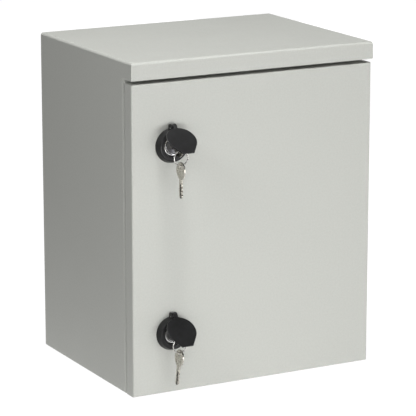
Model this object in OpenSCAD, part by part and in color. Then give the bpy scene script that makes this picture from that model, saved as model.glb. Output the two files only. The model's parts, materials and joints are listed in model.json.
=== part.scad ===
// Steel wall enclosure: a folded cabinet with a hood over a flush door.
// Millimetres. X to the right, Y into the wall, Z up.
// The origin is the centre of the back face, the face that lies on the wall.

/* [Cabinet] */
// Width over the side walls
body_w = 300; // [240:1:420]
// Height over the hood and the floor
body_h = 370; // [320:1:520]
// Depth from the wall to the face of the door
body_d = 230; // [150:1:320]
// Thickness of the cabinet sheet
sheet = 1.5; // [1:0.1:2]
// Outer radius of the long front bends
bend_r = 3.5; // [2.5:0.1:4]
// Outer radius of the bends round the hood and the floor
corner_r = 3; // [2.2:0.1:4]
// Width of the rain channel round the opening
channel_w = 22; // [20:0.5:26]
// Height of the hood's front lip
hood_drop = 19.6; // [14:0.1:26]
// Depth of the hem folded inward under the lip
hem_w = 9; // [5:0.5:12]

/* [Door] */
// Thickness of the door sheet
door_sheet = 1.5; // [1.2:0.1:1.8]
// Depth of the door's folded edge
door_depth = 16; // [15:0.1:18]
// Outer radius of the door's bends
door_r = 2; // [1.9:0.1:2.5]
// Gap between the hood's lip and the door
hood_gap = 4; // [3:0.1:6]
// Gap between the door's folded edge and the cabinet front
door_gap = 3.5; // [3.3:0.1:5]
// Step from the cabinet's right side to the door's edge
hinge_step = 2; // [1:0.1:3]
// Step from the cabinet's floor to the door's lower edge
floor_step = 1; // [0.5:0.1:3]
// Width of the foamed door seal
seal_w = 10; // [6:0.5:10]
// Thickness of the foamed door seal
seal_t = 6; // [4:0.1:6.2]

/* [Hinges] */
// Distance of a hinge from the door's upper or lower edge
hinge_end = 52.7; // [45:0.1:75]
// Length of a hinge knuckle
knuckle_l = 30; // [20:1:40]
// Outer radius of a hinge knuckle
knuckle_r = 4; // [3.4:0.1:4]
// Diameter of a hinge pin
hinge_pin_d = 4; // [3:0.1:4.4]
// Distance of the hinge axis from the door's edge
axis_in = 7; // [6.6:0.1:7.2]
// Distance of the hinge axis behind the door's face
axis_back = 8; // [7.9:0.1:8.4]

/* [Locks] */
// Distance of the upper lock from the door's upper edge
upper_lock_end = 69.2; // [60:0.1:80]
// Distance of the lower lock from the door's lower edge
lower_lock_end = 67.3; // [60:0.1:80]
// Distance of a lock from the door's free edge
lock_in = 47; // [44:0.5:60]
// Radius of a lock's escutcheon on the door
escutcheon_r = 19; // [18:0.1:20]
// How far an escutcheon stands out from the door
escutcheon_h = 7.8; // [7.2:0.1:9]
// Radius of the threaded sleeve through the door
sleeve_r = 11; // [10:0.1:11.5]
// Radius of the turning face of a lock
rotor_r = 11; // [10:0.1:12.5]
// Length of a cam from its axis to its tip
cam_reach = 36; // [34:0.5:40]

/* [Dust covers] */
// Radius of a dust cover's disc
cover_r = 17; // [16:0.1:18]
// Thickness of a dust cover
cover_t = 1.6; // [1.2:0.1:2.5]
// Distance from a cover's hinge to the end of its finger tab
cover_reach = 42.1; // [40:0.1:45]
// How far the upper cover is lifted by its key
upper_lift = 54.4; // [50:0.1:75]
// How far the lower cover is lifted by its key
lower_lift = 47; // [45:0.1:75]

/* [Keys] */
// Thickness of a key
key_t = 1.8; // [1.5:0.1:2.2]
// Width of a key's blade
blade_w = 6; // [5:0.1:7.5]
// Length of a key's blade
blade_l = 20.6; // [18:0.1:26]
// Radius of a key's bow
bow_r = 9.3; // [8:0.1:10.5]
// How far the upper key stands out of its home position
upper_key_out = 3.9; // [0:0.1:4.5]
// Angle at which the lower spare key hangs to the left of upright
lower_spare_lean = 6; // [0:0.5:8]
// Radius of a key ring, to the middle of its wire
ring_r = 8.2; // [8:0.1:9]
// Thickness of a key ring's wire
ring_wire = 1.2; // [0.8:0.1:1.4]

/* [Inside] */
// Distance of the mounting plate's edges from the outside of the cabinet
plate_in = 25; // [24:0.5:40]
// Thickness of the mounting plate
plate_t = 2; // [1.5:0.1:3]
// Distance of the mounting plate from the back panel
plate_gap = 12; // [8:0.5:20]
// Diameter of the mounting plate's studs
plate_stud_d = 8; // [6:0.5:8]
// Distance of the wall-fixing holes from the outside of the cabinet
wall_hole_in = 15; // [12:0.5:18]
// Diameter of the wall-fixing holes
wall_hole_d = 8.5; // [6:0.1:9]
// Width of the cable opening in the floor
gland_w = 180; // [80:1:190]
// Depth of the cable opening in the floor
gland_d = 80; // [50:1:84]
// Thickness of the gland plate
gland_t = 2; // [1.5:0.1:3]
// Thickness of the gland plate's seal
gland_seal_t = 3; // [2:0.1:4]

/* [Hidden] */
$fn = 64;

paint = [0.83, 0.84, 0.82];
zinc = [0.72, 0.73, 0.74];
nickel = [0.70, 0.69, 0.65];
chrome = [0.85, 0.86, 0.88];
black = [0.16, 0.16, 0.17];
foam = [0.22, 0.22, 0.23];

// Cutters run this far past what they cut
over = 1;
// Clearance of a running fit, on the radius
run_fit = 0.05;
// Gap that keeps two still pieces apart
still_gap = 0.3;

// Cabinet outline
side_x = body_w / 2;
top_z = body_h / 2;
front_y = -body_d;
frame_y = front_y + door_depth + door_gap;
hood_z = top_z - hood_drop;
seam_z = top_z - corner_r;

// Door outline
door_left = -side_x;
door_right = side_x - hinge_step;
door_top = hood_z - hood_gap;
door_low = -top_z + floor_step;
door_in = front_y + door_sheet;

// Rain channel: the inner faces of its lips bound the opening
open_x = side_x - channel_w - sheet;
open_low = -top_z + channel_w + sheet;
open_top = door_top - channel_w - sheet;
lip_y = door_in + seal_t + still_gap;
channel_bend = 2.5;
weld_flange = 10;

// Hinges
axis_x = door_right - axis_in;
axis_y = front_y + axis_back;
lip_x = open_x + sheet;
leaf_t = 2;
arm_t = 2.5;
rivet_r = 2;
rivet_head_r = 3.5;
rivet_head_t = 1.2;
rivet_margin = 7;
rivet_pitch = knuckle_l - 2 * rivet_margin;
bracket_t = 2;
ear_t = 2.5;
ear_r = knuckle_r + 0.5;
ear_gap = 0.3;
pin_head_r = 3.2;
pin_head_t = 1.5;
hinge_notch = 6;

// Locks
lock_x = door_left + lock_in;
escutcheon_taper = 2;
rotor_step = 1.5;
rotor_recess = 3.2;
rotor_front = escutcheon_h - rotor_recess;
shank_r = 7.45;
sleeve_l = door_depth + door_gap + sheet;
cam_gap = 0.8;
cam_t = 2.5;
cam_w = 12;
cam_square = 8;
cam_front = sleeve_l + cam_gap;
cam_screw_r = 3;
cam_screw_head_r = 5.8;
cam_screw_head_t = 4;
keyway_end = blade_l - rotor_front;
cam_screw_tip = keyway_end + 1;
lock_nut_t = 5;
lock_nut_r = 15.6;
keyway_h = blade_w + 0.4;
keyway_w = key_t + 0.3;

// Dust covers: the hinge axis lies above the escutcheon
cover_axis_up = 19.9;
cover_axis_out = 4.3;
cover_pin_r = 0.8;
cover_knuckle_r = 3.8;
cover_knuckle_w = 3.8;
cover_ear_r = 4.3;
cover_ear_w = 6.8;
cover_rest = 0.1;
cover_in = escutcheon_h - cover_axis_out + cover_rest;
cover_mid = 22;
cover_tab = 6.7;

// Keys
key_home = rotor_front + 0.5;
bow_shift = 0.2;
bow_mid = bow_r + bow_shift;
shoulder_step = 0.4;
ring_hole_r = 2.2;
ring_hole_at = 14;
wire_r = ring_wire / 2;
ring_slack = ring_hole_r - wire_r - still_gap;
ring_mid = ring_slack + ring_r;
spare_hole = ring_mid + ring_r + ring_slack;

// Inside
back_y = -sheet;
plate_back = back_y - plate_gap;
plate_front = plate_back - plate_t;
plate_w = body_w - 2 * plate_in;
plate_h = body_h - 2 * plate_in;
wall_hole_w = body_w - 2 * wall_hole_in;
wall_hole_h = body_h - 2 * wall_hole_in;
plate_margin = 15;
plate_corner_r = 4;
plate_pitch_x = plate_w - 2 * plate_margin;
plate_pitch_z = plate_h - 2 * plate_margin;
plate_stud_end = 14;
plate_stud_l = plate_gap + plate_t + plate_stud_end;
stud_r = plate_stud_d / 2;
spacer_r = stud_r + 3;
washer_t = 1.6;
washer_r = plate_stud_d;
nut_t = plate_stud_d * 0.8;
nut_r = plate_stud_d * 0.94;
floor_z = -top_z + sheet;
gland_y = -body_d / 2;
gland_rim = 15;
gland_bolt_r = 2.5;
gland_stud_end = 9;
gland_stud_l = gland_seal_t + gland_t + gland_stud_end;
gland_nut_r = 4.6;
gland_nut_t = 4;
earth_r = 3;
earth_l = 18;
earth_flange_r = 5.5;
earth_flange_t = 1.2;
earth_up = 50;
earth_out = 70;
earth_in = 28;
earth_z = -top_z + earth_up;

// ---------------------------------------------------------------- helpers

// The corner of a square less its quarter circle, at the origin, towards +X +Y
module corner_2d(r) {
    difference() {
        translate([-over, -over]) square(r + over);
        translate([r, r]) circle(r = r);
    }
}

// A rectangle with a radius of its own at each corner:
// r = [low left, low right, high right, high left]
module rect_2d(lo, hi, r = [0, 0, 0, 0]) {
    difference() {
        translate(lo) square(hi - lo);
        if (r[0] > 0) translate(lo) corner_2d(r[0]);
        if (r[1] > 0) translate([hi[0], lo[1]]) mirror([1, 0]) corner_2d(r[1]);
        if (r[2] > 0) translate(hi) rotate(180) corner_2d(r[2]);
        if (r[3] > 0) translate([lo[0], hi[1]]) mirror([0, 1]) corner_2d(r[3]);
    }
}

// A plan in X and Y, raised from z0 to z1
module along_z(z0, z1) {
    translate([0, 0, z0]) linear_extrude(z1 - z0) children();
}

// A front view in X and Z, run from y0 to y1
module along_y(y0, y1) {
    translate([0, y1, 0]) rotate([90, 0, 0]) linear_extrude(y1 - y0) children();
}

// A side view in Y and Z, run from x0 to x1
module along_x(x0, x1) {
    translate([x0, 0, 0]) rotate([90, 0, 90]) linear_extrude(x1 - x0) children();
}

module block(lo, hi) {
    translate(lo) cube(hi - lo);
}

// A disc or rod along Y from y0 to y1
module rod_y(r, y0, y1) {
    translate([0, y1, 0]) rotate([90, 0, 0]) cylinder(r = r, h = y1 - y0);
}

// A hex prism along Y from y0 to y1
module hex_y(r, y0, y1) {
    translate([0, y1, 0]) rotate([90, 0, 0]) cylinder(r = r, h = y1 - y0, $fn = 6);
}

// Copies children to each corner of a w by h rectangle in X and Z
module at_corners_xz(w, h) {
    for (sx = [-1, 1], sz = [-1, 1]) translate([sx * w / 2, 0, sz * h / 2]) children();
}

// ---------------------------------------------------------------- cabinet

// The cabinet's outer form, or its hollow when inset by the sheet
module cabinet_form(inset) {
    front_r = bend_r - inset;
    low_r = corner_r - inset;
    x = side_x - inset;
    z = -top_z + inset;
    y = frame_y + inset;
    rear = inset > 0 ? over : 0;
    intersection() {
        along_z(z, seam_z + rear) rect_2d([-x, y], [x, rear], [front_r, front_r, 0, 0]);
        along_y(y, rear) rect_2d([-x, z], [x, seam_z + rear], [low_r, low_r, 0, 0]);
        along_x(-x, x) rect_2d([y, z], [rear, seam_z + rear], [front_r, 0, 0, 0]);
    }
}

// One lip of the rain channel from above: X runs outward from the opening's edge
module lip_2d() {
    rect_2d([0, lip_y], [sheet, frame_y + sheet]);
    translate([sheet, frame_y]) mirror([0, 1]) intersection() {
        corner_2d(channel_bend - sheet);
        square(channel_bend);
    }
}

// What the fold's outer radius takes off at the opening's edge
module fold_relief_2d() {
    translate([0, frame_y + sheet]) mirror([0, 1]) corner_2d(channel_bend);
}

// A length of lip or relief along one edge of the opening
module at_side(s, low, high) {
    mirror([s, 0, 0]) translate([open_x, 0, 0]) along_z(low, high) children();
}

module at_floor(half) {
    translate([0, 0, open_low]) rotate([0, 90, 0]) along_z(-half, half) children();
}

module at_head(half) {
    translate([0, 0, open_top]) rotate([0, -90, 0]) along_z(-half, half) children();
}

module body_wrap() {
    color(paint) difference() {
        union() {
            difference() {
                cabinet_form(0);
                cabinet_form(sheet);
                block([-open_x, frame_y - over, open_low],
                    [open_x, frame_y + sheet + over, open_top + sheet]);
                block([-lip_x, frame_y - over, open_top + sheet],
                    [lip_x, frame_y + sheet + over, seam_z + over]);
            }
            for (s = [0, 1]) at_side(s, open_low - sheet, open_top + sheet) lip_2d();
            at_floor(lip_x) lip_2d();
            // The cheeks carry the side walls forward beside the hood's lip
            for (s = [0, 1]) mirror([s, 0, 0])
                block([side_x - sheet, front_y + sheet, hood_z],
                    [side_x, frame_y + bend_r, seam_z]);
        }
        for (s = [0, 1]) at_side(s, open_low, open_top + sheet) fold_relief_2d();
        at_floor(open_x) fold_relief_2d();
        translate([0, gland_y, 0]) along_z(-top_z - over, floor_z + over)
            rect_2d([-gland_w / 2, -gland_d / 2], [gland_w / 2, gland_d / 2],
                [1, 1, 1, 1] * corner_r);
        for (upper = [true, false]) at_rivets(upper)
            cylinder(r = rivet_r + run_fit, h = 2 * (sheet + over), center = true);
    }
}

// The hood's outer form, or its hollow when inset by the sheet
module hood_form(inset) {
    r = corner_r - inset;
    x = side_x - inset;
    y = front_y + inset;
    z = top_z - inset;
    rear = inset > 0 ? over : 0;
    intersection() {
        along_y(y, rear) rect_2d([-x, hood_z - rear], [x, z], [0, 0, r, r]);
        along_x(-x, x) rect_2d([y, hood_z - rear], [rear, z], [0, 0, 0, r]);
    }
}

module top_hood() {
    color(paint) union() {
        difference() {
            hood_form(0);
            hood_form(sheet);
            // Below the seam only the front lip belongs to the hood
            block([-side_x - over, front_y + sheet, hood_z - over],
                [side_x + over, over, seam_z]);
        }
        // The hem under the lip keeps the edge straight and sheds drops
        block([-side_x + sheet, front_y + sheet, hood_z],
            [side_x - sheet, front_y + hem_w, hood_z + sheet]);
    }
}

module top_channel() {
    color(paint) difference() {
        union() {
            at_head(open_x) lip_2d();
            block([-lip_x, frame_y, open_top + sheet],
                [lip_x, frame_y + sheet, top_z - sheet]);
            block([-lip_x, frame_y, top_z - 2 * sheet],
                [lip_x, frame_y + weld_flange, top_z - sheet]);
        }
        at_head(open_x) fold_relief_2d();
    }
}

module back_panel() {
    color(paint) difference() {
        along_y(-sheet, 0) rect_2d([-side_x + sheet, -top_z + sheet],
            [side_x - sheet, top_z - sheet], [1, 1, 1, 1] * (corner_r - sheet));
        at_corners_xz(wall_hole_w, wall_hole_h)
            rod_y(wall_hole_d / 2, -sheet - over, over);
    }
}

// ---------------------------------------------------------------- inside

module plate_studs() {
    color(zinc) at_corners_xz(plate_pitch_x, plate_pitch_z)
        rod_y(stud_r, back_y - plate_stud_l, back_y);
}

module plate_spacers() {
    color(zinc) at_corners_xz(plate_pitch_x, plate_pitch_z) difference() {
        rod_y(spacer_r, plate_back, back_y);
        rod_y(stud_r + run_fit, plate_back - over, back_y + over);
    }
}

module mounting_plate() {
    color(zinc) difference() {
        along_y(plate_front, plate_back) rect_2d([-plate_w / 2, -plate_h / 2],
            [plate_w / 2, plate_h / 2], [1, 1, 1, 1] * plate_corner_r);
        at_corners_xz(plate_pitch_x, plate_pitch_z)
            rod_y(stud_r + still_gap, plate_front - over, plate_back + over);
    }
}

module plate_washers() {
    color(zinc) at_corners_xz(plate_pitch_x, plate_pitch_z) difference() {
        rod_y(washer_r, plate_front - washer_t, plate_front);
        rod_y(stud_r + still_gap, plate_front - washer_t - over, plate_front + over);
    }
}

module plate_nuts() {
    nut_back = plate_front - washer_t;
    color(zinc) at_corners_xz(plate_pitch_x, plate_pitch_z) difference() {
        hex_y(nut_r, nut_back - nut_t, nut_back);
        rod_y(stud_r + run_fit, nut_back - nut_t - over, nut_back + over);
    }
}

// Copies children to the gland plate's studs: the corners and the middles of two sides
module at_gland_studs() {
    x = (gland_w + gland_rim) / 2;
    y = (gland_d + gland_rim) / 2;
    for (sx = [-1, 0, 1], sy = [-1, 1]) translate([sx * x, gland_y + sy * y, floor_z])
        children();
}

// A rim-wide plate over the cable opening, from one height above the floor to another
module gland_sheet(low, high, cut) {
    x = gland_w / 2 + gland_rim;
    y = gland_d / 2 + gland_rim;
    difference() {
        translate([0, gland_y, 0]) along_z(floor_z + low, floor_z + high)
            rect_2d([-x, -y], [x, y], [1, 1, 1, 1] * plate_corner_r);
        if (cut) translate([0, gland_y, 0]) along_z(floor_z + low - over, floor_z + high + over)
            rect_2d([-gland_w / 2, -gland_d / 2], [gland_w / 2, gland_d / 2],
                [1, 1, 1, 1] * corner_r);
        at_gland_studs() translate([0, 0, low - over])
            cylinder(r = gland_bolt_r + still_gap, h = high - low + 2 * over);
    }
}

module gland_seal() {
    color(foam) gland_sheet(0, gland_seal_t, true);
}

module gland_plate() {
    color(paint) gland_sheet(gland_seal_t, gland_seal_t + gland_t, false);
}

module gland_studs() {
    color(zinc) at_gland_studs() cylinder(r = gland_bolt_r, h = gland_stud_l);
}

module gland_nuts() {
    color(zinc) at_gland_studs() translate([0, 0, gland_seal_t + gland_t]) difference() {
        cylinder(r = gland_nut_r, h = gland_nut_t, $fn = 6);
        translate([0, 0, -over])
            cylinder(r = gland_bolt_r + run_fit, h = gland_nut_t + 2 * over);
    }
}

// A flanged weld stud along Z, standing on the sheet at the origin
module earth_stud() {
    color(zinc) {
        cylinder(r = earth_flange_r, h = earth_flange_t);
        cylinder(r = earth_r, h = earth_l);
    }
}

// The cabinet's stud points inward from the right side wall
module body_earth_stud() {
    translate([side_x - sheet, -earth_out, earth_z]) rotate([0, -90, 0]) earth_stud();
}

module door_earth_stud() {
    translate([axis_x - earth_in, door_in, earth_z]) rotate([-90, 0, 0]) earth_stud();
}

// ---------------------------------------------------------------- hinges

function hinge_z(upper) = upper ? door_top - hinge_end : door_low + hinge_end;

// The cabinet's half of a concealed hinge, seen from above
module leaf_2d() {
    rect_2d([lip_x, axis_y], [lip_x + leaf_t, frame_y - channel_bend + sheet],
        [0, 0, leaf_t / 2, 0]);
    rect_2d([lip_x, axis_y], [axis_x, axis_y + arm_t]);
    translate([axis_x, axis_y]) circle(r = knuckle_r);
}

module hinge_leaf(upper) {
    z = hinge_z(upper);
    color(zinc) difference() {
        along_z(z - knuckle_l / 2, z + knuckle_l / 2) leaf_2d();
        translate([axis_x, axis_y, z]) cylinder(r = hinge_pin_d / 2 + run_fit,
            h = knuckle_l + 2 * over, center = true);
        at_rivets(upper) cylinder(r = rivet_r + run_fit, h = 4 * channel_bend, center = true);
    }
}

module at_rivets(upper) {
    y = (axis_y + arm_t + frame_y) / 2;
    for (s = [-1, 1]) translate([lip_x, y, hinge_z(upper) + s * rivet_pitch / 2])
        rotate([0, 90, 0]) children();
}

// Rivets hold the leaves on the channel's outer lip
module hinge_rivets() {
    color(zinc) for (upper = [true, false]) at_rivets(upper) {
        translate([0, 0, -sheet]) cylinder(r = rivet_r, h = sheet + leaf_t);
        translate([0, 0, leaf_t]) cylinder(r = rivet_head_r, h = rivet_head_t);
        translate([0, 0, -sheet - rivet_head_t])
            cylinder(r = rivet_head_r, h = rivet_head_t);
    }
}

// The door's half: a base on the door's sheet with an ear at each end of the knuckle
module hinge_bracket(upper) {
    z = hinge_z(upper);
    ear_low = knuckle_l / 2 + ear_gap;
    left = axis_x - knuckle_r - 4;
    color(zinc) difference() {
        union() {
            block([left, door_in, z - ear_low - ear_t],
                [axis_x + ear_r, door_in + bracket_t, z + ear_low + ear_t]);
            for (s = [0, 1]) translate([0, 0, z]) mirror([0, 0, s])
                along_z(ear_low, ear_low + ear_t) {
                    rect_2d([axis_x - ear_r, door_in], [axis_x + ear_r, axis_y]);
                    translate([axis_x, axis_y]) circle(r = ear_r);
                }
        }
        translate([axis_x, axis_y, z]) cylinder(r = hinge_pin_d / 2 + run_fit,
            h = 2 * (ear_low + ear_t + over), center = true);
    }
}

module hinge_pin(upper) {
    half = knuckle_l / 2 + ear_gap + ear_t;
    color(nickel) translate([axis_x, axis_y, hinge_z(upper)]) {
        translate([0, 0, -half - pin_head_t])
            cylinder(r = hinge_pin_d / 2, h = 2 * half + pin_head_t);
        translate([0, 0, half]) cylinder(r = pin_head_r, h = pin_head_t);
    }
}

// ---------------------------------------------------------------- door

// The door's outer form, or its hollow when inset by the sheet
module door_form(inset) {
    r = door_r - inset;
    x0 = door_left + inset;
    x1 = door_right - inset;
    y0 = front_y + inset;
    y1 = front_y + door_depth + (inset > 0 ? over : 0);
    z0 = door_low + inset;
    z1 = door_top - inset;
    intersection() {
        along_z(z0, z1) rect_2d([x0, y0], [x1, y1], [r, r, 0, 0]);
        along_x(x0, x1) rect_2d([y0, z0], [y1, z1], [r, 0, 0, r]);
    }
}

module door_pan() {
    color(paint) difference() {
        door_form(0);
        door_form(door_sheet);
        at_lock(true) rod_y(sleeve_r + still_gap, -over, door_sheet + over);
        at_lock(false) rod_y(sleeve_r + still_gap, -over, door_sheet + over);
        // Notches in the folded edge let the hinge arms pass when the door is open
        for (upper = [true, false]) translate([0, 0, hinge_z(upper)])
            block([door_right - door_sheet - over,
                front_y + door_depth - hinge_notch, -knuckle_l / 2 - hinge_step],
                [door_right + over, front_y + door_depth + over,
                knuckle_l / 2 + hinge_step]);
    }
}

// A foamed bead round the door that the channel's lips press into
module door_seal() {
    mid_x = open_x + sheet / 2;
    half = seal_w / 2;
    low = open_low - sheet / 2;
    high = open_top + sheet / 2;
    color(foam) along_y(door_in, door_in + seal_t) difference() {
        rect_2d([-mid_x - half, low - half], [mid_x + half, high + half],
            [1, 1, 1, 1] * seal_w);
        rect_2d([-mid_x + half, low + half], [mid_x - half, high - half],
            [1, 1, 1, 1] * seal_w / 2);
    }
}

// ---------------------------------------------------------------- locks
// Each lock is drawn about its own axis, with Y = 0 on the face of the door

module at_lock(upper) {
    z = upper ? door_top - upper_lock_end : door_low + lower_lock_end;
    translate([lock_x, front_y, z]) children();
}

// A cutter or solid turned about the lock's axis: radii against depths along Y
module turned_y() {
    rotate([-90, 0, 0]) rotate_extrude() children();
}

// Half the escutcheon's section: the cone, its rounded rim and the threaded sleeve
module housing_2d() {
    rim_r = escutcheon_r - escutcheon_taper;
    round_r = 1.5;
    difference() {
        union() {
            polygon([[0, 0], [escutcheon_r, 0], [escutcheon_r, -1],
                [rim_r, -escutcheon_h + round_r], [rim_r - round_r, -escutcheon_h],
                [0, -escutcheon_h]]);
            intersection() {
                translate([rim_r - round_r, -escutcheon_h + round_r]) circle(r = round_r);
                square([2 * rim_r, 2 * escutcheon_h], center = true);
            }
            square([sleeve_r, sleeve_l]);
        }
        translate([0, -escutcheon_h - over])
            square([rotor_r + still_gap, escutcheon_h + over - rotor_step]);
        translate([0, -rotor_step - over])
            square([shank_r + run_fit, rotor_step + sleeve_l + 2 * over]);
    }
}

module lock_housing(upper) {
    color(black) at_lock(upper) difference() {
        union() {
            turned_y() housing_2d();
            along_x(-cover_ear_w / 2, cover_ear_w / 2) ear_side_2d();
        }
        seal_groove(still_gap);
        // The slot that the dust cover's knuckle turns in
        block([-cover_knuckle_w / 2 - still_gap, -2 * escutcheon_h,
            cover_axis_up - cover_knuckle_r - still_gap],
            [cover_knuckle_w / 2 + still_gap, over, cover_axis_up + 2 * cover_ear_r]);
        translate([0, -cover_axis_out, cover_axis_up]) rotate([0, 90, 0])
            cylinder(r = cover_pin_r + run_fit, h = cover_ear_w + 2 * over, center = true);
    }
}

// The two ears' side view: a round nose on a foot that reaches the escutcheon
module ear_side_2d() {
    foot = escutcheon_r - 3;
    translate([-cover_axis_out, cover_axis_up]) circle(r = cover_ear_r);
    rect_2d([-cover_axis_out, foot], [0, cover_axis_up + cover_ear_r], [0, 0, 3, 0]);
    polygon([[-cover_axis_out - cover_ear_r, cover_axis_up], [-escutcheon_h + 1, foot],
        [0, foot], [0, cover_axis_up]]);
}

// An O-ring's groove in the escutcheon's back, or the ring itself
module seal_groove(slack) {
    mid = (sleeve_r + escutcheon_r) / 2;
    difference() {
        rod_y(mid + 1 + slack, -1 - slack, 0);
        rod_y(mid - 1 - slack, -1 - slack - over, over);
    }
}

module lock_seal(upper) {
    color(foam) at_lock(upper) seal_groove(0);
}

module lock_nut(upper) {
    color(zinc) at_lock(upper) difference() {
        hex_y(lock_nut_r, door_sheet, door_sheet + lock_nut_t);
        rod_y(sleeve_r + run_fit, door_sheet - over, door_sheet + lock_nut_t + over);
    }
}

// The turning part: a dished face, the shank in the sleeve and the square for the cam
module lock_rotor(upper) {
    face_groove = 0.8;
    color(chrome) at_lock(upper) difference() {
        union() {
            rod_y(rotor_r, -rotor_front, -rotor_step);
            rod_y(shank_r, -rotor_step, sleeve_l + run_fit);
            rod_y(cam_square / 2 * sqrt(2) - still_gap, sleeve_l, cam_front);
            block([-cam_square / 2, cam_front, -cam_square / 2],
                [cam_square / 2, cam_front + cam_t, cam_square / 2]);
        }
        difference() {
            rod_y(rotor_r - 1.6, -rotor_front - over, -rotor_front + face_groove);
            rod_y(shank_r, -rotor_front - over, 0);
        }
        block([-keyway_w / 2, -rotor_front - over, -keyway_h / 2],
            [keyway_w / 2, keyway_end, keyway_h / 2]);
        rod_y(cam_screw_r + run_fit, cam_screw_tip - still_gap, cam_front + cam_t + over);
    }
}

// The cam hangs down at rest and turns behind the channel to lock
module lock_cam(upper) {
    color(zinc) at_lock(upper) difference() {
        along_y(cam_front, cam_front + cam_t) {
            circle(r = cam_w / 2 + 2);
            rect_2d([-cam_w / 2, -cam_reach + cam_w / 2], [cam_w / 2, 0]);
            translate([0, -cam_reach + cam_w / 2]) circle(r = cam_w / 2);
        }
        hole = cam_square / 2 + run_fit;
        block([-hole, cam_front - over, -hole], [hole, cam_front + cam_t + over, hole]);
    }
}

module cam_screw(upper) {
    head = cam_front + cam_t;
    color(zinc) at_lock(upper) {
        rod_y(cam_screw_r, cam_screw_tip, head);
        hex_y(cam_screw_head_r, head, head + cam_screw_head_t);
    }
}

// ---------------------------------------------------------------- dust covers

// A closed cover's outline from the front, with its hinge axis on the X axis
module cover_2d() {
    reach = cover_reach - cover_mid;
    corner = norm([cover_tab, reach]);
    turn = atan2(cover_tab, reach) + acos(cover_r / corner);
    side = cover_r * [sin(turn), -cos(turn)];
    translate([0, -cover_mid]) {
        circle(r = cover_r);
        polygon([[0, 0], side, [cover_tab, -reach], [-cover_tab, -reach],
            [-side[0], side[1]]]);
    }
}

// The cover's neck from the side: the knuckle and the web to the disc
module cover_neck_2d() {
    circle(r = cover_knuckle_r);
    polygon([[0, cover_knuckle_r], [-cover_in - cover_t, 0],
        [-cover_in - cover_t, -cover_mid / 3], [-cover_in, -cover_mid / 3],
        [0, -cover_knuckle_r]]);
}

module dust_cover(upper) {
    lift = upper ? upper_lift : lower_lift;
    color(black) at_lock(upper) translate([0, -cover_axis_out, cover_axis_up])
        rotate([-lift, 0, 0]) difference() {
            union() {
                along_y(-cover_in - cover_t, -cover_in) cover_2d();
                along_x(-cover_knuckle_w / 2, cover_knuckle_w / 2) cover_neck_2d();
            }
            rotate([0, 90, 0]) cylinder(r = cover_pin_r + run_fit,
                h = cover_knuckle_w + 2 * over, center = true);
        }
}

module cover_pin(upper) {
    color(nickel) at_lock(upper) translate([0, -cover_axis_out, cover_axis_up])
        rotate([0, 90, 0]) cylinder(r = cover_pin_r, h = cover_ear_w, center = true);
}

// ---------------------------------------------------------------- keys

// A key from the side: its shoulder at X = 0, the bow towards +X
module key_2d() {
    cuts = 4;
    cut_d = 1.2;
    difference() {
        union() {
            translate([bow_mid, 0]) circle(r = bow_r);
            // The bow's flanks run down to a small step at the shoulder
            polygon([[bow_mid / 2, bow_r * 0.8], [0, blade_w / 2 + shoulder_step],
                [0, blade_w / 2], [-blade_l + 2, blade_w / 2], [-blade_l, 1],
                [-blade_l, -1], [-blade_l + 2, -blade_w / 2], [0, -blade_w / 2],
                [0, -blade_w / 2 - shoulder_step], [bow_mid / 2, -bow_r * 0.8]]);
        }
        translate([ring_hole_at, 0]) circle(r = ring_hole_r);
        // Cuts along one edge of the blade
        for (i = [1 : cuts]) translate([-blade_l * i / (cuts + 1.2), -blade_w / 2])
            circle(r = cut_d, $fn = 4);
    }
}

module key(upper) {
    out = upper ? upper_key_out : 0;
    color(nickel) at_lock(upper) translate([0, -key_home - out, 0]) rotate([90, 0, -90])
        linear_extrude(key_t, center = true) key_2d();
}

// Moves to the middle of the ring's wire where it passes through the key
module at_ring(upper) {
    out = upper ? upper_key_out : 0;
    at_lock(upper) translate([0, -key_home - out - ring_hole_at, 0]) children();
}

module key_ring(upper) {
    color(nickel) at_ring(upper) translate([0, 0, -ring_mid]) rotate([90, 0, 0])
        rotate_extrude() translate([ring_r, 0]) circle(r = wire_r);
}

// The second key hangs from the ring with its blade down
module spare_key(upper) {
    color(nickel) at_ring(upper) translate([0, 0, -spare_hole])
        rotate([0, (upper ? 0 : lower_spare_lean) - 90, 0])
        translate([-ring_hole_at, 0]) linear_extrude(key_t, center = true) key_2d();
}

body_wrap();
top_hood();
top_channel();
back_panel();
plate_studs();
plate_spacers();
mounting_plate();
plate_washers();
plate_nuts();
gland_seal();
gland_plate();
gland_studs();
gland_nuts();
body_earth_stud();
hinge_leaf(true);  // hinge_leaf_upper
hinge_leaf(false);  // hinge_leaf_lower
hinge_rivets();
door_pan();
door_seal();
hinge_bracket(true);  // hinge_bracket_upper
hinge_bracket(false);  // hinge_bracket_lower
hinge_pin(true);  // hinge_pin_upper
hinge_pin(false);  // hinge_pin_lower
door_earth_stud();
lock_housing(true);  // lock_housing_upper
lock_seal(true);  // lock_seal_upper
lock_nut(true);  // lock_nut_upper
lock_rotor(true);  // lock_rotor_upper
lock_cam(true);  // lock_cam_upper
cam_screw(true);  // cam_screw_upper
dust_cover(true);  // dust_cover_upper
cover_pin(true);  // cover_pin_upper
key(true);  // key_upper
key_ring(true);  // key_ring_upper
spare_key(true);  // spare_key_upper
lock_housing(false);  // lock_housing_lower
lock_seal(false);  // lock_seal_lower
lock_nut(false);  // lock_nut_lower
lock_rotor(false);  // lock_rotor_lower
lock_cam(false);  // lock_cam_lower
cam_screw(false);  // cam_screw_lower
dust_cover(false);  // dust_cover_lower
cover_pin(false);  // cover_pin_lower
key(false);  // key_lower
key_ring(false);  // key_ring_lower
spare_key(false);  // spare_key_lower
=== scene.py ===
"""Looks for a hooded steel wall enclosure: folded sheet, flush door, two keyed locks.

Everything is in metres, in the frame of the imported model: X right, Y into the wall, Z up.
"""

import json
import math
from contextlib import contextmanager

import bpy
from mathutils import Matrix, Vector


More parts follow.
